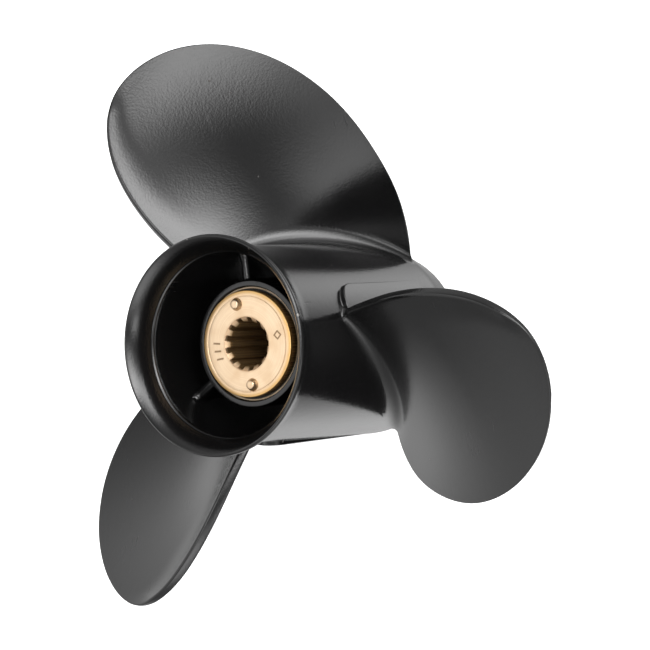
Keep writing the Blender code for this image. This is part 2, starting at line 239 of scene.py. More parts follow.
def add_piece(name, points, faces, skin, smooth_angle=50.0):
    """A mesh piece from points and faces, welded, with outward normals."""
    mesh = bpy.data.meshes.new(name)
    build = bmesh.new()
    corners = [build.verts.new(point) for point in points]
    for face in faces:
        build.faces.new([corners[i] for i in face])
    bmesh.ops.remove_doubles(build, verts=build.verts[:], dist=0.000002)
    bmesh.ops.dissolve_degenerate(build, dist=0.000001, edges=build.edges[:])
    bmesh.ops.recalc_face_normals(build, faces=build.faces[:])
    build.to_mesh(mesh)
    build.free()
    mesh.shade_smooth()
    mesh.set_sharp_from_angle(angle=math.radians(smooth_angle))
    piece = bpy.data.objects.new(name, mesh)
    bpy.context.scene.collection.objects.link(piece)
    piece.data.materials.append(skin)
    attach(piece, "root")
    return piece


def grid_faces(rows, columns, start=0, closed=False):
    """Quads of a grid of points that are numbered row by row."""
    faces = []
    for row in range(rows - 1):
        for column in range(columns if closed else columns - 1):
            following = (column + 1) % columns
            faces.append((start + row * columns + column, start + row * columns + following,
                          start + (row + 1) * columns + following, start + (row + 1) * columns + column))
    return faces


def rounded(corners, steps=5):
    """A closed outline of (radius, station, rounding) corners, with each corner turned into an arc."""
    outline = []
    for i, (radius, station, rounding) in enumerate(corners):
        here = Vector((radius, station))
        if rounding <= 0:
            outline.append((radius, station))
            continue
        back = (Vector(corners[i - 1][:2]) - here).normalized()
        on = (Vector(corners[(i + 1) % len(corners)][:2]) - here).normalized()
        half = back.angle(on) / 2
        reach = rounding / math.tan(half)
        centre = here + (back + on).normalized() * rounding / math.sin(half)
        first, last = here + back * reach - centre, here + on * reach - centre
        swing = first.angle_signed(last)
        for step in range(steps + 1):
            turn = -swing * step / steps
            x = first.x * math.cos(turn) - first.y * math.sin(turn)
            y = first.x * math.sin(turn) + first.y * math.cos(turn)
            outline.append((centre.x + x, centre.y + y))
    return outline


def lathe(name, outline, skin, sides=BARREL_SIDES, smooth_angle=50.0):
    """A ring turned about the shaft's axis from a closed outline of (radius, station) points."""
    angles = np.arange(sides) * 360.0 / sides
    points = np.concatenate([place(radius, angles, station) for radius, station in outline])
    faces = grid_faces(len(outline), sides, closed=True)
    last = (len(outline) - 1) * sides
    faces += [(last + i, last + (i + 1) % sides, (i + 1) % sides, i) for i in range(sides)]
    return add_piece(name, points, faces, skin, smooth_angle)


def barrel_radius(station):
    """Outer radius of the barrel: a cone that widens forward, a rounded shoulder and a cone to the nose."""
    station = np.asarray(station, float)
    widen = (BARREL_WIDEST[0] - BARREL_AFT[0]) / (BARREL_WIDEST[1] - BARREL_AFT[1])
    narrow = (BARREL_NOSE[0] - BARREL_WIDEST[0]) / (BARREL_NOSE[1] - BARREL_WIDEST[1])
    past = station - BARREL_WIDEST[1]
    straight = BARREL_WIDEST[0] + np.where(past > 0, narrow, widen) * past
    turn = (narrow - widen) / (4 * NOSE_SHOULDER)
    curved = BARREL_WIDEST[0] + widen * past + turn * (past + NOSE_SHOULDER) ** 2
    return np.where(np.abs(past) < NOSE_SHOULDER, curved, straight)


def barrel_casting(skin):
    """The barrel with its flare, open from end to end."""
    shoulder = (BARREL_WIDEST[1] - NOSE_SHOULDER, BARREL_WIDEST[1] + NOSE_SHOULDER)
    stations = [*np.linspace(BARREL_AFT[1], shoulder[0], 40), *np.linspace(*shoulder, 9)[1:], 124.0,
                LENGTH - 1.5]
    body = [(float(barrel_radius(station)), station) for station in stations]
    nose = rounded([(float(barrel_radius(LENGTH - 3.0)), LENGTH - 3.0, 0),
                    (BARREL_NOSE[0], LENGTH, NOSE_ROUND[0]), (BORE_FORWARD, LENGTH, NOSE_ROUND[1]),
                    (BORE_FORWARD + 0.06, LENGTH - 5.0, 0)])
    bore = [(mix((BORE_FORWARD, BORE_AFT), share), mix(BORE_TAPER, share))
            for share in np.linspace(0, 1, 20)]
    even, late = FLARE_BEND
    throat, start = FLARE_BEAD[-1]
    flare = []
    for share in np.linspace(0, 1, 15)[1:]:
        widened = (LIP_INNER - throat) * (even * share + (1 - even) * share ** late)
        flare.append((throat + widened, mix((start, LIP_START), share)))
    lip = [(LIP_INNER + 0.25, 0.13), (LIP_INNER + 0.5, 0.02), (LIP_OUTER - 0.8, 0.03),
           (LIP_OUTER - 0.5, 0.18), (LIP_OUTER - 0.2, 0.55), (LIP_OUTER - 0.03, 1.1)]
    outline = [(LIP_OUTER, 1.7), *FLARE_OUTER, *body, *nose[1:-1], *bore, *FLARE_BEAD, *flare, *lip]
    casting = lathe("barrel_casting", outline, skin)
    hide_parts("exhaust_barrel", "diffuser_ring")


def hub_tube_casting(skin):
    """The tube that holds the bush, with rounded ends."""
    outline = rounded([(TUBE_OUTER, TUBE_AFT, 0.5), (TUBE_OUTER, TUBE_FORWARD, 0.4),
                       (TUBE_INNER, TUBE_FORWARD, 0.4), (TUBE_INNER, TUBE_AFT, 0.35)])
    casting = lathe("hub_tube_casting", outline, skin, TUBE_SIDES)
    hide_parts("hub_tube")


def hollow(distance, radius):
    """How far a hollow corner of a given radius spreads, at a distance from its wall."""
    past = np.maximum(radius - distance, 0.0)
    return radius - np.sqrt(radius ** 2 - past ** 2)


def rib_casting(number, skin):
    """A rib with a rounded after edge and hollow corners where it meets the tube and the barrel."""
    inner, outer = TUBE_OUTER - 0.2, BORE_AFT + 0.05
    across = np.linspace(0, 1, 25)
    from_tube = (outer - inner) * across
    from_bore = (outer - inner) - from_tube
    half = RIB_THICKNESS / 2 + hollow(from_tube, RIB_FILLET[0]) + hollow(from_bore, RIB_FILLET[1])
    climb = hollow(from_tube, RIB_CLIMB[0]) + hollow(from_bore, RIB_CLIMB[1])
    nose = RIB_THICKNESS * RIB_NOSE
    rows = []
    for swing in np.linspace(0, math.pi / 2, 9):
        rows.append((RIB_AFT - climb + nose * (1 - math.cos(swing)), max(math.sin(swing), 0.02)))
    for station in np.linspace(RIB_AFT + nose, RIB_FORWARD, 12)[1:]:
        rows.append((np.full(len(across), station), 1.0))
    points = []
    for station, width in rows:
        narrowed = (station - BORE_TAPER[1]) / (BORE_TAPER[0] - BORE_TAPER[1])
        bore = mix((BORE_AFT, BORE_FORWARD), narrowed) + 0.3
        local = inner + (bore - inner) * across
        for side in (-1, 1):
            edge = half * width * side
            lean = np.degrees(np.arctan2(edge, local)) + RIB_TURN + THIRD * number
            ring = place(np.hypot(local, edge), lean, station)
            points.append(ring if side < 0 else ring[::-1])
    columns = 2 * len(across)
    faces = grid_faces(len(rows), columns, closed=True)
    faces.append(tuple(range(columns))[::-1])
    faces.append(tuple(range((len(rows) - 1) * columns, len(rows) * columns)))
    casting = add_piece(f"rib_casting_{number + 1}", np.concatenate(points), faces, skin)
    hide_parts(f"rib_{number + 1}")


def edge_reach(radius):
    """How far a radius is from the tip, as the square root of a share, in which a round tip is smooth."""
    return np.sqrt(np.maximum(TIP_RADIUS - np.asarray(radius, float), 0.0) / (TIP_RADIUS - ROOT_RADIUS))


# The blade's outline as one smooth curve: angle over reach, which is negative along the trailing edge
OUTLINE = ([(-float(edge_reach(radius)), angle) for radius, angle in TRAILING_EDGE] + [(0.0, TIP_ANGLE)]
           + [(float(edge_reach(radius)), angle) for radius, angle in reversed(LEADING_EDGE)])


def outline_angle(reach):
    """Angle of the blade's outline at a signed reach, on a smooth curve through its points."""
    at = np.array([knot[0] for knot in OUTLINE])
    angle = np.array([knot[1] for knot in OUTLINE])
    slope = np.gradient(angle, at)
    slope[1:-1] = (angle[2:] - angle[:-2]) / (at[2:] - at[:-2])
    i = np.clip(np.searchsorted(at, reach) - 1, 0, len(at) - 2)
    width = at[i + 1] - at[i]
    t = (reach - at[i]) / width
    return (angle[i] * (1 + 2 * t) * (1 - t) ** 2 + slope[i] * width * t * (1 - t) ** 2
            + angle[i + 1] * (3 - 2 * t) * t * t + slope[i + 1] * width * t * t * (t - 1))


def out_share(radius):
    """Share of the way from the root to the tip."""
    return (np.asarray(radius, float) - ROOT_RADIUS) / (TIP_RADIUS - ROOT_RADIUS)


def blade_station(radius, angle):
    """Station of the pressure face of a blade whose middle is at angle 0."""
    out = radius - ROOT_RADIUS
    pitch = mix((PITCH_ROOT, PITCH_TIP), out_share(radius) ** 2)
    return ROOT_STATION + RAKE_SLOPE * out + RAKE_CURVE * out * out + pitch * angle / 360.0


def trailing_depth(radius, angle):
    """Distance from the trailing edge along the chord."""
    return np.radians(angle - outline_angle(-edge_reach(radius))) * radius / np.cos(screw_slope(radius))


def screw_slope(radius):
    """Slope of the screw surface along its turn, in radians."""
    return np.arctan(mix((PITCH_ROOT, PITCH_TIP), out_share(radius) ** 2) / math.tau / radius)


def cup(radius, angle):
    """How far the curled band stands aft of the screw surface, and how much it leans."""
    begin, steepest, end = CUP_REACH
    rise = np.clip((radius - begin) / (steepest - begin), 0.0, 1.0)
    tilt = CUP_TILT * rise * np.clip((end - radius) / (end - steepest), 0.0, 1.0) ** CUP_FADE
    width = np.interp(radius, *zip(*CUP_WIDTH))
    past = np.maximum(width - trailing_depth(radius, angle), 0.0)
    bend = CUP_BEND * width
    lift = np.where(past < bend, past * past / (2 * bend), past - bend / 2)
    return tilt * lift, np.arctan(tilt * np.minimum(past / bend, 1.0))


def blade_place(radius, angle, off):
    """Radius, angle and station of points at an offset forward of the curled face, along its normal."""
    slope = screw_slope(radius)
    lift, lean = cup(radius, angle)
    across, rise = -off * np.sin(lean), off * np.cos(lean) - lift
    turn = across * np.cos(slope) - rise * np.sin(slope)
    return (radius, angle + np.degrees(turn / radius),
            blade_station(radius, angle) + across * np.sin(slope) + rise * np.cos(slope))


def edge_thickness(radius, chord):
    """Thickness without the belly: that of the nearer edge, and what the curl adds."""
    share = out_share(radius)
    plain_edge = mix((mix(EDGE_THICKNESS_TRAILING, share), mix(EDGE_THICKNESS_LEADING, share)), chord)
    return plain_edge + cup(radius, chord_angle(radius, chord))[0]


def chord_angle(radius, chord):
    """Angle of a chord share, from the trailing edge at 0 to the leading edge at 1."""
    reach = edge_reach(radius)
    return mix((outline_angle(-reach), outline_angle(reach)), chord)


def belly(radius, inward):
    """Thickness added by the blade's middle. Inward runs from 0 at the outline to 1 at the spine."""
    return mix(BELLY_THICKNESS, out_share(radius)) * np.sin(math.pi / 2 * np.clip(inward, 0, 1))


def side_offsets(radius, chord, inward, depth):
    """Offsets of the pressure and suction faces, with the edge's corners rounded over the given depth."""
    edge = edge_thickness(radius, chord)
    drops = []
    for share in EDGE_ROUND:
        corner = share * edge
        inside = np.clip(depth / corner, 0, 1)
        drops.append(corner * (1 - np.sqrt(1 - (1 - inside) ** 2)))
    return drops[0], edge + belly(radius, inward) - drops[1]


def inward_steps():
    """Shares from the outline to the spine, close together at the rounded edge."""
    near = np.array([0.0, 0.0012, 0.0045, 0.0095, 0.016, 0.024, 0.034])
    far = np.linspace(0, 1, FACE_ROWS - len(near) + 1)[1:]
    return np.concatenate([near, near[-1] + (1 - near[-1]) * (0.55 * far + 0.45 * far ** 2)])


def ground_radius(station, chord, side):
    """Radius of what a blade stands on: the barrel on its pressure side, the land on its suction side."""
    barrel = barrel_radius(station)
    from_end = np.clip((1 - np.abs(2 * np.asarray(chord) - 1)) / LAND_EASE, 0, 1)
    return barrel + (np.maximum(barrel, LAND_RADIUS) - barrel) * side * from_end ** 2 * (3 - 2 * from_end)


def root_radius(chord, fillet, side):
    """Radius at which a face leaves its root fillet."""
    radius = np.full(np.shape(chord), 45.0)
    for _ in range(6):
        angle = chord_angle(radius, chord)
        thick = edge_thickness(radius, chord) + belly(radius, 1 - np.abs(2 * chord - 1))
        station = blade_place(radius, angle, thick * side)[2]
        radius = ground_radius(station, chord, side) + fillet
    return radius


def fillet_at(chord, sizes):
    """Radius of a root fillet, from its sizes at the ends and in the middle."""
    ends = mix((sizes[0], sizes[2]), chord)
    return ends + (sizes[1] - (sizes[0] + sizes[2]) / 2) * np.sin(math.pi * chord) ** FILLET_SWELL


def flat_points(radius, angle):
    """Points in the plane across the axis, from radius and angle in degrees."""
    return np.stack([radius * np.cos(np.radians(angle)), radius * np.sin(np.radians(angle))], -1)


def line_length(line):
    """Length along a line up to each of its points."""
    return np.concatenate([[0], np.cumsum(np.linalg.norm(np.diff(line, axis=0), axis=1))])


def face_plan(side):
    """Radius, angle, chord share, inward share and depth over one face, from the outline to the spine."""
    inward = inward_steps()
    fillet = SUCTION_FILLET if side else PRESSURE_FILLET
    trailing_root = root_radius(np.array([0.0]), fillet[0], 0)[0]
    leading_root = root_radius(np.array([1.0]), fillet[2], 0)[0]
    along = np.linspace(0, 1, OUTLINE_COLUMNS)

    def outline_at(reach):
        return flat_points(TIP_RADIUS - (TIP_RADIUS - ROOT_RADIUS) * reach ** 2, outline_angle(reach))

    def root_line(chords):
        radii = root_radius(chords, fillet_at(chords, fillet), side)
        return flat_points(radii, chord_angle(radii, chords))

    # even spacing along the outline
    reach = mix((-edge_reach(trailing_root), edge_reach(leading_root)), along)
    length = line_length(outline_at(reach))
    outline = outline_at(np.interp(along, length / length[-1], reach))

    # a surface spanned by the outline, the spine and the two halves of the root line
    trailing_half, leading_half = root_line(inward / 2), root_line(1 - inward / 2)
    spine_foot = root_line(np.array([0.5]))[0]
    rise = np.sin(math.pi / 2 * (1 - np.abs(2 * along - 1)))
    spine = spine_foot + (flat_points(SPINE_REACH, SPINE_ANGLE) - spine_foot) * rise[:, None]
    u = along[:, None, None]
    v = inward[None, :, None]
    plan = ((1 - v) * outline[:, None] + v * spine[:, None] + (1 - u) * trailing_half[None]
            + u * leading_half[None] - (1 - u) * (1 - v) * outline[0] - u * (1 - v) * outline[-1]
            - (1 - u) * v * spine[0] - u * v * spine[-1])
    depth = np.linalg.norm(plan - plan[:, :1], axis=-1)
    radius = np.hypot(plan[..., 0], plan[..., 1])
    angle = np.degrees(np.arctan2(plan[..., 1], plan[..., 0]))
    reach = edge_reach(radius)
    low, high = outline_angle(-reach), outline_angle(reach)
    chord = np.clip((angle - low) / np.maximum(high - low, 0.5), 0, 1)
    return radius, angle, chord, np.broadcast_to(inward[None], radius.shape), depth


def blade_casting(number, skin):
    """A blade as one closed skin: two faces, a rounded edge between them and a root fillet on the barrel."""
    sheets = []
    for side in (0, 1):
        radius, angle, chord, inward, depth = face_plan(side)
        off = side_offsets(radius, chord, inward, depth)[side]
        r, a, s = blade_place(radius, angle, off)
        sheets.append(place(r, a + THIRD * number, s))
    pressure, suction = sheets
    columns, rows = pressure.shape[:2]
    points = [pressure.reshape(-1, 3), suction.reshape(-1, 3)]
    faces = grid_faces(columns, rows) + grid_faces(columns, rows, start=columns * rows)
    back = columns * rows
    for column in range(columns - 1):
        faces.append((column * rows, (column + 1) * rows, back + (column + 1) * rows, back + column * rows))

    # root fillet: rows that start where the faces end and run out on the barrel
    inward = inward_steps()
    chords = np.concatenate([inward / 2, 1 - inward[-2::-1] / 2])
    loop_chord = np.concatenate([chords, chords[::-1]])
    loop_side = np.concatenate([np.zeros(len(chords)), np.ones(len(chords))])
    loop_fillet = np.where(loop_side > 0, fillet_at(loop_chord, SUCTION_FILLET),
                           fillet_at(loop_chord, PRESSURE_FILLET))
    loop_inward = 1 - np.abs(2 * loop_chord - 1)
    rings = []
    for step in range(FILLET_ROWS + 2):
        swing = math.pi / 2 * min(step / FILLET_ROWS, 1)
        rise = loop_fillet * (1 - math.sin(swing))
        push = loop_fillet * (1 - math.cos(swing))
        if step > FILLET_ROWS:
            rise, push = rise - FILLET_SKIRT[1], push + FILLET_SKIRT[0]
        radius = root_radius(loop_chord, loop_fillet, loop_side)
        for _ in range(4):
            angle = chord_angle(radius, loop_chord)
            chord_arc = np.radians(chord_angle(radius, 1) - chord_angle(radius, 0)) * radius
            depth = loop_inward / 2 * chord_arc / np.cos(ROOT_SLOPE)
            both = side_offsets(radius, loop_chord, loop_inward, depth)
            off = np.where(loop_side > 0, both[1], both[0])
            _, turned, station = blade_place(radius, angle, off)
            flat = np.stack([np.radians(turned) * radius, station], -1)
            ahead, behind = np.roll(flat, -1, axis=0), np.roll(flat, 1, axis=0)
            tangent = ahead - behind
            tangent /= np.linalg.norm(tangent, axis=1)[:, None]
            normal = np.stack([tangent[:, 1], -tangent[:, 0]], -1)
            moved = flat + normal * push[:, None]
            radius = ground_radius(moved[:, 1], loop_chord, loop_side) + rise
        rings.append(place(radius, np.degrees(moved[:, 0] / radius) + THIRD * number, moved[:, 1]))
    start = 2 * columns * rows
    faces += grid_faces(len(rings), len(loop_chord), start=start, closed=True)
    points += rings
    casting = add_piece(f"blade_casting_{number + 1}", np.concatenate(points), faces, skin, 180.0)
    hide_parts(f"blade_{number + 1}")


def smooth_line(knots, step):
    """Evenly spaced points on a smooth curve through the given points."""
    slope = np.gradient(knots, axis=0)
    slope[1:-1] = (knots[2:] - knots[:-2]) / 2
    at = np.linspace(0, len(knots) - 1, 1200)
    i = np.minimum(at.astype(int), len(knots) - 2)
    t = (at - i)[:, None]
    line = (knots[i] * (1 + 2 * t) * (1 - t) ** 2 + slope[i] * t * (1 - t) ** 2
            + knots[i + 1] * (3 - 2 * t) * t * t + slope[i + 1] * t * t * (t - 1))
    length = line_length(line)
    even = np.linspace(0, length[-1], int(length[-1] / step))
    return np.stack([np.interp(even, length, line[:, axis]) for axis in (0, 1)], -1)


def land_casting(number, skin):
    """A low pad of even radius in front of a blade, with a hollow foot and a rounded edge."""
    knots = np.array([(math.radians(angle) * LAND_RADIUS, station) for station, angle in LAND_OUTLINE])
    foot = smooth_line(knots, LAND_STEP)
    tangent = np.gradient(foot, axis=0)
    tangent /= np.linalg.norm(tangent, axis=1)[:, None]
    inward = np.stack([tangent[:, 1], -tangent[:, 0]], -1)
    share = np.linspace(0, 1, len(foot))
    inside_station = mix((knots[0][1] + 1.0, knots[-1][1]), 0.5 * share + 0.5 * share ** 2)
    inside_angle = (inside_station - ROOT_STATION + 1.0) * 360.0 / PITCH_ROOT - LAND_TUCK[0]
    inside = np.stack([np.radians(inside_angle) * LAND_RADIUS, inside_station], -1)
    rows = []

    def row(plan, height):
        barrel = barrel_radius(plan[:, 1])
        rows.append(place(barrel + height, np.degrees(plan[:, 0] / LAND_RADIUS) + THIRD * number, plan[:, 1]))

    # where the land is lower than its roundings, they shrink with it
    full = LAND_RADIUS - barrel_radius(foot[:, 1])
    height = np.maximum(full, 0.0)
    small = np.minimum(height / (LAND_FOOT + LAND_EDGE) * 0.9, 1.0)
    row(foot - inward * LAND_SKIRT[0], np.full(len(foot), -LAND_SKIRT[1]))
    hollow_radius, edge_radius = LAND_FOOT * small, LAND_EDGE * small
    for turn in np.linspace(0, math.pi / 2, 7):
        row(foot + inward * (hollow_radius * (math.sin(turn) - 1))[:, None],
            hollow_radius * (1 - math.cos(turn)) - 0.01)
    # the first of these rows meets the last one of the foot
    for turn in np.linspace(0, math.pi / 2, 7):
        row(foot + inward * (edge_radius * (1 - math.cos(turn)))[:, None],
            np.where(full > 0, height - edge_radius * (1 - math.sin(turn)), full) - 0.01 * (turn < 0.1))
    edge = foot + inward * edge_radius[:, None]
    for share in np.linspace(0, 1, 16)[1:]:
        plan = edge + (inside - edge) * share
        row(plan, LAND_RADIUS - barrel_radius(plan[:, 1]))
    row(inside, np.full(len(inside), -LAND_TUCK[1]))
    points = np.stack(rows)
    count, columns = points.shape[:2]
    faces = grid_faces(count, columns)
    casting = add_piece(f"land_casting_{number + 1}", points.reshape(-1, 3), faces, skin, 180.0)
    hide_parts(f"root_land_{number + 1}")


def spline_outline():
    """One turn of the spline bore as angle and radius, tooth by tooth."""
    pitch = 360.0 / SPLINE_TEETH
    half = SPLINE_TOOTH_SHARE / 2
    depth = SPLINE_MAJOR - SPLINE_MINOR
    # share of the pitch from the middle of a tooth, and share of the depth from its tip
    shape = [(-half, 0.06), (-half * 0.85, 0.0), (-half * 0.4, 0.0), (0.0, 0.0), (half * 0.4, 0.0),
             (half * 0.85, 0.0), (half, 0.06), (half + 0.035, 0.82), (half + 0.055, 0.95), (half + 0.09, 1.0),
             (0.42, 1.0), (0.5, 1.0), (0.58, 1.0), (0.91 - half, 1.0), (0.945 - half, 0.95),
             (0.965 - half, 0.82)]
    angles, radii = [], []
    for tooth in range(SPLINE_TEETH):
        for at, deep in shape:
            angles.append(SPLINE_TURN + (tooth + at) * pitch)
            radii.append(SPLINE_MINOR + deep * depth)
    return np.array(angles), np.array(radii)


def brass_sleeve(skin):
    """The splined sleeve with its flange, which has a fine ring groove on its after face."""
    angles, spline = spline_outline()
    around = len(angles)
    even = np.linspace(angles[0], angles[0] + 360.0, around, endpoint=False)

    def circle(radius, station, ease=1.0):
        """A ring of points, spaced evenly at ease 1 and like the teeth at ease 0."""
        return place(radius, angles + (even - angles) * ease, station)

    top = FLANGE_AFT
    back = FLANGE_AFT + FLANGE_THICKNESS
    rings = [place(spline, angles, SLEEVE_FORWARD - 0.4), place(spline + 0.35, angles, SLEEVE_FORWARD)]
    rings += [circle(12.0, SLEEVE_FORWARD), circle(SLEEVE_RADIUS - 0.5, SLEEVE_FORWARD),
              circle(SLEEVE_RADIUS, SLEEVE_FORWARD - 0.5)]
    rings += [circle(SLEEVE_RADIUS, s) for s in np.linspace(SLEEVE_FORWARD - 2.0, back, 12)]
    rings += [circle(FLANGE_RADIUS - 0.3, back), circle(FLANGE_RADIUS, back - 0.3),
              circle(FLANGE_RADIUS, top + 2.0), circle(FLANGE_RADIUS, top + 0.75)]
    for turn in np.linspace(0, math.pi / 2, 5):
        rings.append(circle(FLANGE_RADIUS - 0.35 * (1 - math.cos(turn)), top + 0.65 - 0.35 * math.sin(turn)))
    rings += [circle(radius, top + depth) for radius, depth in FLANGE_FACE]
    rings += [circle(radius, top, ease) for radius, ease in FLANGE_EASE]
    for depth in np.linspace(0, SPLINE_CHAMFER, 12):
        rings.append(place(np.maximum(spline, SPLINE_MAJOR + 0.15 - depth), angles, top + depth))
    rings += [place(spline, angles, s) for s in np.linspace(top + 4.0, SLEEVE_FORWARD - 3.0, 10)]
    faces = grid_faces(len(rings), around, closed=True)
    last = (len(rings) - 1) * around
    faces += [(last + i, last + (i + 1) % around, (i + 1) % around, i) for i in range(around)]
    sleeve = add_piece("brass_sleeve", np.concatenate(rings), faces, skin, 38.0)
    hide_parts("spline_sleeve")


def sleeve_stud(number, skin):
    """A raised stud on the flange: a blunt cone with a rounded rim."""
    sides = 40
    profile = [(STUD_BASE + 0.15, 0.15), (STUD_BASE + 0.08, -0.02), (STUD_BASE, -0.12),
               (STUD_BASE - 0.05, -0.35), (STUD_TOP + 0.28, -STUD_HEIGHT + 0.35),
               (STUD_TOP + 0.14, -STUD_HEIGHT + 0.12), (STUD_TOP - 0.1, -STUD_HEIGHT),
               (STUD_TOP * 0.5, -STUD_HEIGHT - 0.03)]
    centre = place(STUD_CENTRE, STUD_ANGLES[number], FLANGE_AFT)
    points = []
    for radius, drop in profile:
        for i in range(sides):
            turn = math.tau * i / sides
            points.append(centre + np.array((radius * math.cos(turn), radius * math.sin(turn), -drop)) * MM)
    faces = grid_faces(len(profile), sides, closed=True)
    faces.append(tuple(range(sides)))
    faces.append(tuple(range((len(profile) - 1) * sides, len(profile) * sides))[::-1])
    stud = add_piece(f"sleeve_stud_{number + 1}", points, faces, skin, 60.0)


def rubber_bush_moulding(skin):
    """The rubber ring that fills the room between sleeve and tube."""
    outline = rounded([(TUBE_INNER - 0.02, BUSH_AFT - 0.2, 0.5), (TUBE_INNER - 0.02, BUSH_FORWARD, 0.8),
                       (SLEEVE_RADIUS, BUSH_FORWARD, 0.8), (SLEEVE_RADIUS, BUSH_AFT + 0.6, 0.2)])
    bush = lathe("rubber_bush_moulding", outline, skin, BUSH_SIDES)
    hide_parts("rubber_bush")


def bush_collar(skin):
    """The thin pale collar that shows between the flange and the tube."""
    outer = TUBE_INNER - COLLAR_GAP
    inner = outer - COLLAR_WALL
    outline = rounded([(outer, COLLAR_AFT, 0.15), (outer, COLLAR_FORWARD, 0),
                       (inner, COLLAR_FORWARD, 0), (inner, COLLAR_AFT, 0.15)], 3)
    collar = lathe("bush_collar", outline, skin, BUSH_SIDES)


def add_node(tree, kind, inputs=(), **settings):
    """A shader node with its settings, and its inputs set or linked by name or number."""
    node = tree.nodes.new("ShaderNode" + kind)
    for name, value in settings.items():
        setattr(node, name, value)
    for name, value in dict(inputs).items():
        if isinstance(value, bpy.types.NodeSocket):
            tree.links.new(value, node.inputs[name])
        else:
            node.inputs[name].default_value = value
    return node


def calculate(tree, operation, *values):
    """The result of a Math node on numbers or sockets."""
    return add_node(tree, "Math", enumerate(values), operation=operation).outputs[0]


def blend(tree, share, first, second):
    """A colour between two others."""
    inputs = {0: share}
    for at, colour in ((6, first), (7, second)):
        inputs[at] = (*colour, 1.0) if isinstance(colour, tuple) else colour
    return add_node(tree, "Mix", inputs, data_type="RGBA").outputs[2]


def ramp(tree, value, low, high):
    """0 up to low and 1 from high on, smooth in between. It falls where low is above high."""
    inputs = {"Value": value, "From Min": low, "From Max": high}
    return add_node(tree, "MapRange", inputs, interpolation_type="SMOOTHSTEP").outputs["Result"]


def noise(tree, scale, detail=2.0, **places):
    """Noise from 0 to 1, over the object's coordinates or over one number."""
    inputs = {"Scale": scale, "Detail": detail}
    if "W" in places:
        return add_node(tree, "TexNoise", {**inputs, "W": places["W"]}, noise_dimensions="1D").outputs[0]
    where = places.get("Vector") or add_node(tree, "TexCoord").outputs["Object"]
    return add_node(tree, "TexNoise", {**inputs, "Vector": where}).outputs[0]


def effect(name, inputs, outputs):
    """A node group with number sockets, and the nodes that give its inputs and take its outputs."""
    group = bpy.data.node_groups.new(name, "ShaderNodeTree")
    for socket, value in inputs.items():
        made = group.interface.new_socket(socket, in_out="INPUT", socket_type="NodeSocketFloat")
        made.default_value = value
    for socket in outputs:
        group.interface.new_socket(socket, in_out="OUTPUT", socket_type="NodeSocketFloat")
    return group, group.nodes.new("NodeGroupInput").outputs, group.nodes.new("NodeGroupOutput").inputs


def use(tree, group, **inputs):
    """The outputs of an effect that is placed with its own values."""
    return add_node(tree, "Group", {name.replace("_", " "): value for name, value in inputs.items()},
                    node_tree=group).outputs


def around_axis():
    """Millimetres from the shaft's axis, millimetres forward of the after lip, and the angle in radians."""
    group, _, ends = effect("around axis", {}, ("Radius", "Station", "Turn"))
    where = add_node(group, "TexCoord").outputs["Object"]
    parts = add_node(group, "SeparateXYZ", {0: where}).outputs
    flat = calculate(group, "SQRT", calculate(group, "ADD", calculate(group, "MULTIPLY", parts[0], parts[0]),
                                              calculate(group, "MULTIPLY", parts[1], parts[1])))
    group.links.new(calculate(group, "DIVIDE", flat, MM), ends["Radius"])
    group.links.new(calculate(group, "MULTIPLY_ADD", parts[2], -1 / MM, AFT_PLANE), ends["Station"])
    group.links.new(calculate(group, "ARCTAN2", parts[1], parts[0]), ends["Turn"])
    return group


def fine_grain():
    """Heights of two sizes of small bumps."""
    group, given, ends = effect("fine grain", {"Scale": 900.0, "Coarse": 0.4}, ("Height",))
    coarse = noise(group, calculate(group, "MULTIPLY", given["Scale"], 0.3), 1.0)
    small = noise(group, given["Scale"], 2.0)
    group.links.new(calculate(group, "MULTIPLY_ADD", coarse, given["Coarse"], small), ends["Height"])
    return group


def specks():
    """A mask of small round spots, of which a share is kept."""
    group, given, ends = effect("specks", {"Scale": 250.0, "Size": 0.12, "Share": 0.1}, ("Mask",))
    where = add_node(group, "TexCoord").outputs["Object"]
    cells = add_node(group, "TexVoronoi", {"Vector": where, "Scale": given["Scale"]}).outputs
    chance = add_node(group, "SeparateColor", {0: cells["Color"]}).outputs
    kept = calculate(group, "LESS_THAN", chance[0], given["Share"])
    size = calculate(group, "MULTIPLY", given["Size"], calculate(group, "ADD", chance[1], 0.3))
    spot = ramp(group, cells["Distance"], size, calculate(group, "MULTIPLY", size, 0.5))
    group.links.new(calculate(group, "MULTIPLY", spot, kept), ends["Mask"])
    return group


def scratches():
    """A mask of a few short straight scratches."""
    group, given, ends = effect("scratches", {"Share": 0.72}, ("Mask",))
    where = add_node(group, "TexCoord").outputs["Object"]
    mapping = {"Vector": where, "Rotation": (0.4, 0.7, 0.5), "Scale": (90.0, 2600.0, 90.0)}
    turned = add_node(group, "Mapping", mapping).outputs[0]
    line = ramp(group, noise(group, 1.0, 0.0, Vector=turned), given["Share"],
                calculate(group, "ADD", given["Share"], 0.06))
    where_some = ramp(group, noise(group, 55.0, 0.0), 0.73, 0.78)
    group.links.new(calculate(group, "MULTIPLY", line, where_some), ends["Mask"])
    return group


def turned_rings():
    """Heights of fine tool marks around the axis."""
    group, given, ends = effect("turned rings", {"Per mm": 2.2}, ("Height",))
    radius = use(group, bpy.data.node_groups["around axis"])["Radius"]
    wander = noise(group, 30.0, 1.0)
    at = calculate(group, "MULTIPLY", calculate(group, "MULTIPLY_ADD", wander, 0.25, radius), given["Per mm"])
    group.links.new(noise(group, 1.0, 2.0, W=at), ends["Height"])
    return group


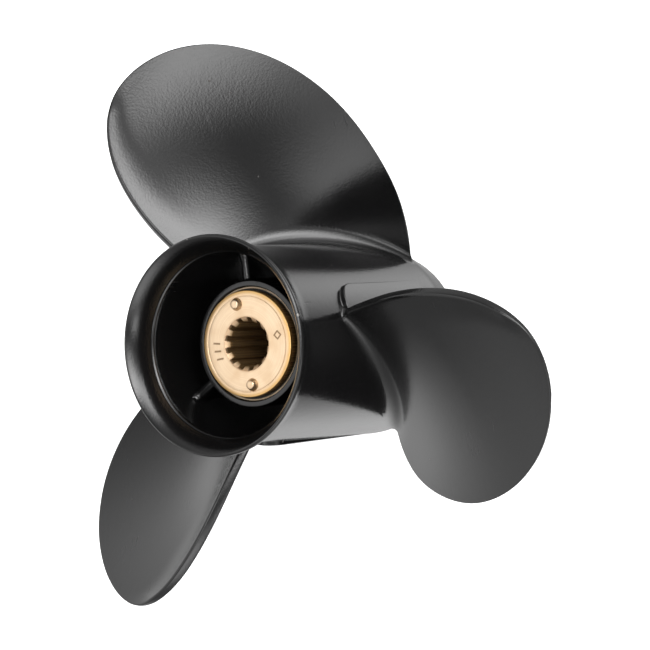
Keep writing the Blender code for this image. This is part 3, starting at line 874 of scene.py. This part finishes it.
def stamped_bar():
    """A mask of a straight bar on the flange's face, by its middle, half sizes and turn."""
    names = {"X": 0.0, "Y": 0.0, "Along": 1.0, "Across": 0.2, "Turn": 0.0}
    group, given, ends = effect("stamped bar", names, ("Mask",))
    where = add_node(group, "TexCoord").outputs["Object"]
    parts = add_node(group, "SeparateXYZ", {0: where}).outputs
    x = calculate(group, "SUBTRACT", calculate(group, "DIVIDE", parts[0], MM), given["X"])
    y = calculate(group, "SUBTRACT", calculate(group, "DIVIDE", parts[1], MM), given["Y"])
    cosine, sine = (calculate(group, kind, given["Turn"]) for kind in ("COSINE", "SINE"))
    along = calculate(group, "ADD", calculate(group, "MULTIPLY", x, cosine),
                      calculate(group, "MULTIPLY", y, sine))
    across = calculate(group, "SUBTRACT", calculate(group, "MULTIPLY", y, cosine),
                       calculate(group, "MULTIPLY", x, sine))
    masks = []
    for distance, half in ((along, given["Along"]), (across, given["Across"])):
        inner, outer = (calculate(group, "ADD", half, ease) for ease in (-0.08, 0.08))
        masks.append(ramp(group, calculate(group, "ABSOLUTE", distance), outer, inner))
    group.links.new(calculate(group, "MULTIPLY", *masks), ends["Mask"])
    return group


def material(name, roughness, metallic=0.0):
    """A material with its node tree and its shader."""
    made = bpy.data.materials.new(name)
    made.use_nodes = True
    shader = made.node_tree.nodes["Principled BSDF"]
    shader.inputs["Roughness"].default_value = roughness
    shader.inputs["Metallic"].default_value = metallic
    return made, made.node_tree, shader


def bump(tree, shader, height, distance):
    """Lets the shader's normal follow a height that is given in parts of a distance in metres."""
    made = add_node(tree, "Bump", {"Strength": 1.0, "Distance": distance, "Height": height})
    tree.links.new(made.outputs["Normal"], shader.inputs["Normal"])


def black_paint(effects):
    """Glossy black paint with a fine grain, a few dust specks and scratches, and small chips on the lip."""
    made, tree, shader = material("black_paint", 0.2)
    dust = use(tree, effects["specks"], Scale=170.0, Size=0.09, Share=0.08)["Mask"]
    scratch = use(tree, effects["scratches"])["Mask"]
    grain = use(tree, effects["fine grain"], Scale=1150.0, Coarse=0.38)["Height"]
    at_lip = ramp(tree, use(tree, effects["around axis"])["Station"], 2.2, 1.2)
    chips = use(tree, effects["specks"], Scale=330.0, Size=0.22, Share=0.07)["Mask"]
    chips = calculate(tree, "MULTIPLY", chips, at_lip)
    cloud = noise(tree, 45.0, 3.0)
    base = blend(tree, cloud, *PAINT)
    base = blend(tree, calculate(tree, "MULTIPLY", dust, 0.8), base, PAINT_DUST)
    base = blend(tree, calculate(tree, "MULTIPLY", scratch, 0.5), base, PAINT_SCRATCH)
    base = blend(tree, calculate(tree, "MULTIPLY", chips, 0.7), base, PAINT_CHIP)
    tree.links.new(base, shader.inputs["Base Color"])
    rough = calculate(tree, "MULTIPLY_ADD", cloud, 0.05, 0.15)
    rough = calculate(tree, "MULTIPLY_ADD", dust, 0.35, rough)
    tree.links.new(calculate(tree, "MULTIPLY_ADD", scratch, 0.15, rough), shader.inputs["Roughness"])
    height = calculate(tree, "MULTIPLY_ADD", dust, 1.2, grain)
    bump(tree, shader, calculate(tree, "MULTIPLY_ADD", scratch, -0.4, height), 0.00005)
    return made


def brass(effects):
    """Machined brass: cream turned face, golden rim, a painted shade in dark tones with painted reflection
    lines over the bore and the flange's side, and a few stamped bars.
    """
    made, tree, shader = material("brass", 0.34, 1.0)
    spot = use(tree, effects["around axis"])
    radius, station, turn = spot["Radius"], spot["Station"], spot["Turn"]
    rings = use(tree, effects["turned rings"], Per_mm=2.4)["Height"]
    grain = use(tree, effects["fine grain"], Scale=1500.0, Coarse=0.3)["Height"]
    patches = noise(tree, 120.0, 3.0)
    face = blend(tree, ramp(tree, rings, 0.3, 0.7), *BRASS_FACE)
    face = blend(tree, ramp(tree, patches, 0.35, 0.75), face, BRASS_PATCH)
    face = blend(tree, ramp(tree, radius, 19.4, 21.6), face, BRASS_RIM)
    # below the face the brass is coloured with painted shade, and painted reflection lines run across it
    # around the axis
    deep = ramp(tree, station, FLANGE_AFT + 0.5, FLANGE_AFT + 2.2)
    painted_glints = noise(tree, 1.0, 2.0, W=calculate(tree, "MULTIPLY", turn, 34.0))
    painted_shade = blend(tree, ramp(tree, painted_glints, 0.3, 0.7), *BRASS_PAINTED_SHADE)
    base = blend(tree, deep, face, painted_shade)
    marks = None
    for x, y, along, across, lean in FLANGE_MARKS:
        bar = use(tree, effects["stamped bar"], X=x, Y=y, Along=along, Across=across,
                  Turn=math.radians(lean))["Mask"]
        marks = bar if marks is None else calculate(tree, "MAXIMUM", marks, bar)
    marks = calculate(tree, "MULTIPLY", marks, ramp(tree, station, FLANGE_AFT + 0.3, FLANGE_AFT + 0.1))
    base = blend(tree, calculate(tree, "MULTIPLY", marks, 0.75), base, BRASS_MARK)
    tree.links.new(base, shader.inputs["Base Color"])
    rough = calculate(tree, "MULTIPLY_ADD", ramp(tree, radius, 11.6, 11.1), 0.3, 0.30)
    tree.links.new(calculate(tree, "MULTIPLY_ADD", patches, 0.12, rough), shader.inputs["Roughness"])
    height = calculate(tree, "MULTIPLY_ADD", rings, 1.0, calculate(tree, "MULTIPLY", grain, 0.5))
    bump(tree, shader, calculate(tree, "MULTIPLY_ADD", marks, -6.0, height), 0.00001)
    return made


def rubber(effects):
    """Matte black rubber with a fine grain and a little dust."""
    made, tree, shader = material("rubber", 0.6)
    dust = use(tree, effects["specks"], Scale=400.0, Size=0.2, Share=0.1)["Mask"]
    grain = use(tree, effects["fine grain"], Scale=2500.0, Coarse=0.6)["Height"]
    base = blend(tree, grain, *RUBBER)
    tree.links.new(blend(tree, dust, base, RUBBER_DUST), shader.inputs["Base Color"])
    tree.links.new(calculate(tree, "MULTIPLY_ADD", grain, 0.15, 0.5), shader.inputs["Roughness"])
    bump(tree, shader, grain, 0.00003)
    return made


def pale_collar(effects):
    """Pale tan metal with turned rings."""
    made, tree, shader = material("pale_collar", 0.45, 0.4)
    rings = use(tree, effects["turned rings"], Per_mm=4.0)["Height"]
    patches = noise(tree, 200.0, 2.0)
    base = blend(tree, ramp(tree, patches, 0.3, 0.7), *COLLAR)
    tree.links.new(base, shader.inputs["Base Color"])
    tree.links.new(calculate(tree, "MULTIPLY_ADD", patches, 0.2, 0.35), shader.inputs["Roughness"])
    bump(tree, shader, rings, 0.00001)
    return made


def floor_paint(effects):
    """A pale matte floor with a faint cloudiness, clear from below and for mirrored rays."""
    made, tree, shader = material("floor_white", 0.9)
    base = blend(tree, noise(tree, 6.0, 3.0), *FLOOR)
    tree.links.new(base, shader.inputs["Base Color"])
    bump(tree, shader, use(tree, effects["fine grain"], Scale=600.0)["Height"], 0.00002)
    shader.inputs["Specular IOR Level"].default_value = 0.0
    shader.inputs["Emission Color"].default_value = (1, 1, 1, 1)
    shader.inputs["Emission Strength"].default_value = FLOOR_GLOW
    clear = add_node(tree, "BsdfTransparent").outputs[0]
    mirrored = add_node(tree, "LightPath").outputs["Is Glossy Ray"]
    below = add_node(tree, "NewGeometry").outputs["Backfacing"]
    hidden = calculate(tree, "MAXIMUM", mirrored, below)
    mixed = add_node(tree, "MixShader", {0: hidden, 1: shader.outputs[0], 2: clear}).outputs[0]
    tree.links.new(mixed, tree.nodes["Material Output"].inputs["Surface"])
    return made


def camera():
    """The camera, looking into the flare at a slant with blade 1 at the top."""
    made = bpy.data.objects.new("camera", bpy.data.cameras.new("camera"))
    bpy.context.scene.collection.objects.link(made)
    x, y, above = CAMERA_AT
    made.location = (x * MM, y * MM, (LENGTH + above) * MM)
    made.rotation_euler = Euler([math.radians(v) for v in CAMERA_TURN])
    made.data.lens = CAMERA_LENS
    made.data.sensor_width = SENSOR_WIDTH
    bpy.context.scene.camera = made


def floor(skin):
    """A level floor at the plane on which the propeller stands."""
    mesh = bpy.data.meshes.new("floor")
    corners = [(x * FLOOR_HALF, y * FLOOR_HALF, 0) for x, y in ((-1, -1), (1, -1), (1, 1), (-1, 1))]
    mesh.from_pydata(corners, [], [(0, 1, 2, 3)])
    made = bpy.data.objects.new("floor", mesh)
    bpy.context.scene.collection.objects.link(made)
    made.data.materials.append(skin)


def studio():
    """Soft lights all round: each is a glow of the world about a direction. The camera sees plain white."""
    world = bpy.data.worlds.new("studio")
    bpy.context.scene.world = world
    world.use_nodes = True
    tree = world.node_tree
    background = tree.nodes["Background"]
    way = add_node(tree, "TexCoord").outputs["Generated"]
    total = SKY_LEVEL
    for direction, brightness, sharpness in SOFT_LIGHTS:
        axis = Vector(direction).normalized()
        along = add_node(tree, "VectorMath", {0: way, 1: axis}, operation="DOT_PRODUCT").outputs["Value"]
        falloff = calculate(tree, "EXPONENT", calculate(tree, "MULTIPLY_ADD", along, sharpness, -sharpness))
        total = calculate(tree, "MULTIPLY_ADD", falloff, brightness, total)
    seen = add_node(tree, "LightPath").outputs["Is Camera Ray"]
    shown = add_node(tree, "Mix", {"Factor": seen, "A": total, "B": 1.0}).outputs["Result"]
    tree.links.new(shown, background.inputs["Color"])
    background.inputs["Strength"].default_value = 1.0
    view = bpy.context.scene.view_settings
    view.view_transform = "Standard"
    view.look = "None"


groups = (around_axis(), fine_grain(), specks(), scratches(), turned_rings(), stamped_bar())
effects = {group.name: group for group in groups}
casting_skin, brass_skin = black_paint(effects), brass(effects)

camera()
floor(floor_paint(effects))
studio()
barrel_casting(casting_skin)
hub_tube_casting(casting_skin)
for number in range(BLADES):
    rib_casting(number, casting_skin)
    blade_casting(number, casting_skin)
    land_casting(number, casting_skin)
brass_sleeve(brass_skin)
for number in range(len(STUD_ANGLES)):
    sleeve_stud(number, brass_skin)
rubber_bush_moulding(rubber(effects))
bush_collar(pale_collar(effects))
